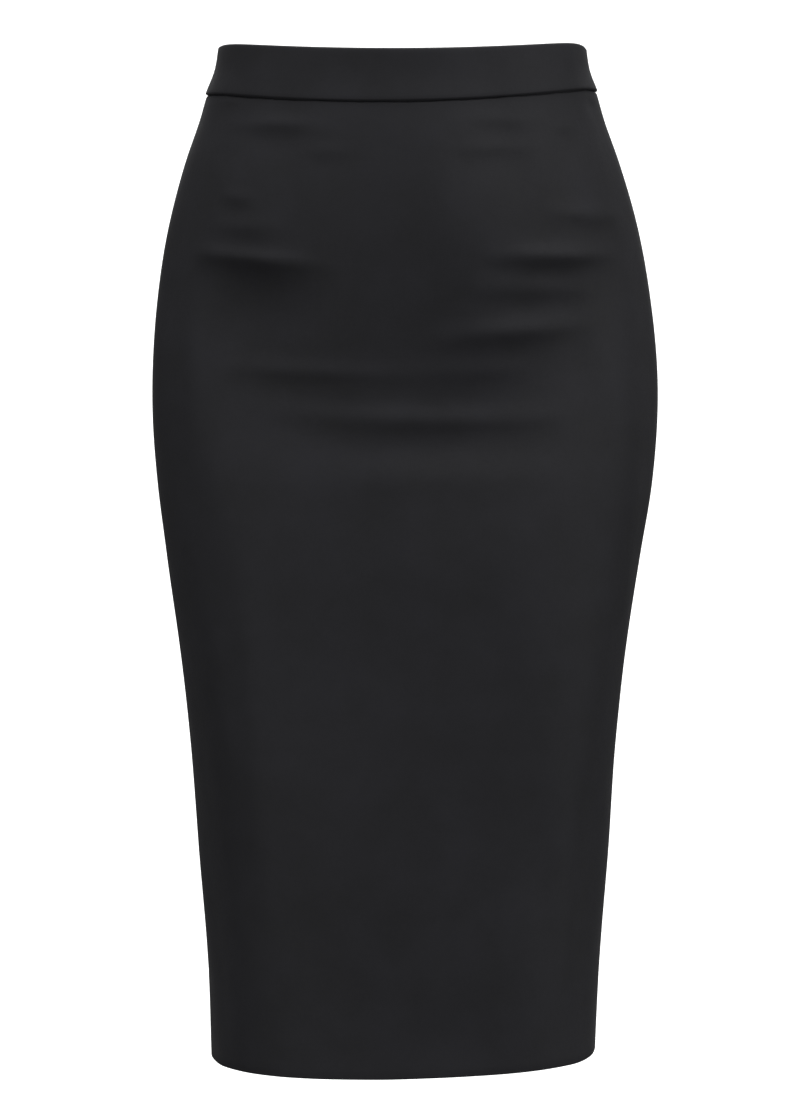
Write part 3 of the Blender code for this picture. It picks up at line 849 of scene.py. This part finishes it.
def blocks(name, places, size, rounding, finish):
    """A new object of rounded blocks, each at a bearing offset in millimetres, a drop and a depth."""
    joined = bmesh.new()
    for offset, drop, depth in places:
        bearing = BACK + np.degrees(offset / ring(BACK, drop)[4])
        centre = Vector(place(bearing, drop, depth))
        block = bmesh.ops.create_cube(joined, size=MM)["verts"]
        for vertex in block:
            vertex.co = Vector(vertex.co[i] * size[i] for i in range(3)) + centre
    data = bpy.data.meshes.new(name)
    joined.to_mesh(data)
    joined.free()
    made = bpy.data.objects.new(name, data)
    bpy.context.scene.collection.objects.link(made)
    data.materials.append(finish)
    round_edges(made, rounding)
    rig.ride(made, SKIRT)
    return made


def add_chain(coil, enamel):
    """The zip's interlocked teeth below the slider, and the metal stop at its end."""
    band_top = float(line_drop(TOP_EDGE, BACK))
    first, last = band_top + CHAIN_START, band_top + ZIP_LENGTH - CHAIN_STOP
    depth = (CHAIN_OUTER + CHAIN_INNER) / 2
    shift = (TOOTH_REACH - TOOTH_PAST) / 2
    count = round((last - first) / TOOTH_PITCH)
    places = [(shift * (-1) ** i, first + TOOTH_PITCH * i, depth) for i in range(count)]
    tooth = (TOOTH_REACH + TOOTH_PAST, CHAIN_INNER - CHAIN_OUTER, TOOTH_HEIGHT)
    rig.slot(blocks("zip_teeth", places, tooth, TOOTH_ROUNDING, coil), "zip_tape")
    stop = (STOP_WIDTH, CHAIN_INNER - CHAIN_OUTER + STOP_PROUD, STOP_HEIGHT)
    stop_place = (0.0, last + STOP_HEIGHT / 2, depth)
    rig.slot(blocks("zip_stop", [stop_place], stop, STOP_ROUNDING, enamel), "zip_metal")


def thread(name, paths, finish):
    """Threads along paths of points in metres, as one mesh."""
    curve = bpy.data.curves.new(name, "CURVE")
    curve.dimensions = "3D"
    curve.bevel_depth = THREAD_RADIUS * MM
    curve.bevel_resolution = 0
    for path in paths:
        spline = curve.splines.new("POLY")
        spline.points.add(len(path) - 1)
        spline.points.foreach_set("co", np.column_stack((path, np.ones(len(path)))).ravel())
    drawn = bpy.data.objects.new(name + "_path", curve)
    data = bpy.data.meshes.new_from_object(drawn)
    data.name = name
    bpy.data.objects.remove(drawn)
    made = bpy.data.objects.new(name, data)
    bpy.context.scene.collection.objects.link(made)
    data.materials.append(finish)
    data.shade_smooth()
    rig.ride(made, SKIRT)
    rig.slot(made, "skirt_cloth")


def zigzag(count):
    """How far a zigzag's points lie in from the raw edge, in turn."""
    return np.where(np.arange(count) % 2, 0.0, THREAD_REACH)


def seam_thread(edge):
    """The path of the thread over a turned-in seam's raw edge."""
    top = float(line_drop(WAIST_SEAM, edge.seam)) + THREAD_TOP
    bottom = float(line_drop(HEM, edge.seam)) - HEM_ALLOWANCE - THREAD_REACH
    drops = np.arange(top, bottom, THREAD_PITCH / 2)
    offset = edge.gap(drops) + edge.turn + edge.allowance - zigzag(len(drops))
    bearing = edge.seam + edge.side * np.degrees(offset / ring(edge.seam, drops)[4])
    return place(bearing, drops, 2 * edge.turn + THREAD_RADIUS)


def hem_thread(edges):
    """The path of the thread over a panel's hem, between its two seams."""
    margin = math.degrees(HEM_THREAD_MARGIN / HIP_RADIUS)
    step = math.degrees(THREAD_PITCH / 2 / HEM_RADIUS)
    bearings = np.arange(edges[0].seam + margin, edges[1].seam - margin, step)
    drops = line_drop(HEM, bearings) - HEM_TURN - HEM_ALLOWANCE + zigzag(len(bearings))
    return place(bearings, drops, 2 * HEM_TURN + THREAD_RADIUS)


def add_overlock(finish):
    """The zigzag of thread over the raw edges of the turned-in seams and of the hem."""
    for name, edges in (
        ("overlock_front", FRONT_EDGES),
        ("overlock_back_left", BACK_LEFT_EDGES),
        ("overlock_back_right", BACK_RIGHT_EDGES),
    ):
        paths = [seam_thread(edge) for edge in edges]
        thread(name, [*paths, hem_thread(edges)], finish)


def declare_cloth():
    """States the cut of every piece of cloth."""
    for cut in CUTS:
        piece = bpy.data.objects[cut.piece]
        size = (cut.width * MM, cut.length * MM)
        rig.sheet(piece, size, cut.held, rests_on=cut.hangs_from, area=cut.area, with_pieces=cut.sewn_on)


def finish_zip(enamel):
    """Enamel and soft edges for the slider and the pull."""
    for node in ("zip_slider", "zip_pull"):
        piece = frame["nodes"][node]
        piece.data.materials.clear()
        piece.data.materials.append(enamel)
        round_edges(piece, METAL_ROUNDING)


# ---------------------------------------------------------------- floor, light and camera

FLOOR_BELOW_HEM = 0.4
FLOOR_SIZE = 400.0

# Soft light from far away: bearing from the viewer (to the right is positive) and height, in degrees,
# and strength
Lamp = namedtuple("Lamp", "name bearing height strength")
LAMPS = (
    Lamp("overhead", 0, 80, 2.5),
    Lamp("key", 50, 30, 0.75),
    Lamp("right", 75, 0, 0.44),
    Lamp("left", -75, 30, 0.30),
    Lamp("left low", -50, 0, 0.23),
    Lamp("bounce", -25, -30, 0.43),
    Lamp("back right", 160, 50, 0.85),
    Lamp("behind", 180, 30, 1.0),
)
LAMP_SPREAD = 40.0  # degrees across
AMBIENT = 0.055
FLOOR_GLOW = 0.35


def add_stage():
    """A plain pale floor that sends no light back to the skirt."""
    floor_data = bpy.data.meshes.new("floor")
    mesh = bmesh.new()
    bmesh.ops.create_grid(mesh, x_segments=1, y_segments=1, size=FLOOR_SIZE / 2)
    mesh.to_mesh(floor_data)
    mesh.free()
    floor = bpy.data.objects.new("floor", floor_data)
    floor.location = (0, 0, cad_box[0][2] - FLOOR_BELOW_HEM)
    bpy.context.scene.collection.objects.link(floor)
    n = Nodes("pale_floor")
    n.shader.inputs["Base Color"].default_value = grey(0.9)
    n.shader.inputs["Roughness"].default_value = 0.9
    n.shader.inputs["Emission Color"].default_value = grey(1.0)
    n.shader.inputs["Emission Strength"].default_value = FLOOR_GLOW
    floor_data.materials.append(n.material)
    floor.visible_diffuse = False
    floor.visible_glossy = False
    floor.visible_shadow = False
    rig.stage(floor)


def add_light():
    """Far, soft lamps, faint light from all round, and a white background for the camera alone."""
    world = bpy.data.worlds.new("studio")
    bpy.context.scene.world = world
    world.use_nodes = True
    tree = world.node_tree
    soft = tree.nodes["Background"]
    soft.inputs["Color"].default_value = grey(1.0)
    soft.inputs["Strength"].default_value = AMBIENT
    white = tree.nodes.new("ShaderNodeBackground")
    white.inputs["Color"].default_value = grey(1.0)
    white.inputs["Strength"].default_value = 1.0
    path = tree.nodes.new("ShaderNodeLightPath")
    mix = tree.nodes.new("ShaderNodeMixShader")
    tree.links.new(path.outputs["Is Camera Ray"], mix.inputs[0])
    tree.links.new(soft.outputs[0], mix.inputs[1])
    tree.links.new(white.outputs[0], mix.inputs[2])
    tree.links.new(mix.outputs[0], tree.nodes["World Output"].inputs["Surface"])
    for lamp in LAMPS:
        light = bpy.data.lights.new(lamp.name, "SUN")
        light.energy = lamp.strength
        light.angle = math.radians(LAMP_SPREAD)
        made = bpy.data.objects.new(lamp.name, light)
        bpy.context.scene.collection.objects.link(made)
        made.rotation_euler = (math.radians(90 - lamp.height), 0, math.radians(lamp.bearing))


CAMERA_PLACE = (-0.0016, -4.2, 0.078)
CAMERA_TILT = 5.634  # degrees below level
CAMERA_LENS = 196.3


def add_camera():
    """A long lens in front of the skirt, a little above it."""
    camera = bpy.data.cameras.new("camera")
    camera.lens = CAMERA_LENS
    camera.sensor_width = 36.0
    camera.sensor_fit = "AUTO"
    camera.clip_end = FLOOR_SIZE
    made = bpy.data.objects.new("camera", camera)
    made.location = CAMERA_PLACE
    made.rotation_euler = (math.radians(90 - CAMERA_TILT), 0, 0)
    bpy.context.scene.collection.objects.link(made)
    bpy.context.scene.camera = made
    bpy.context.scene.view_settings.view_transform = "Standard"


add_camera()
add_light()
add_stage()
black_twill = twill_material()
add_panels(black_twill)
add_waistband(black_twill)
zip_tape, zip_enamel = tape_material(), enamel_material()
finish_zip(zip_enamel)
add_tapes(zip_tape)
add_chain(zip_tape, zip_enamel)
add_overlock(thread_material())
declare_cloth()

with open("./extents.json", "w") as size_file:
    boxes = {"cad": cad_box, "visual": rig.bounds()}
    json.dump({name: [list(corner) for corner in box] for name, box in boxes.items()}, size_file)
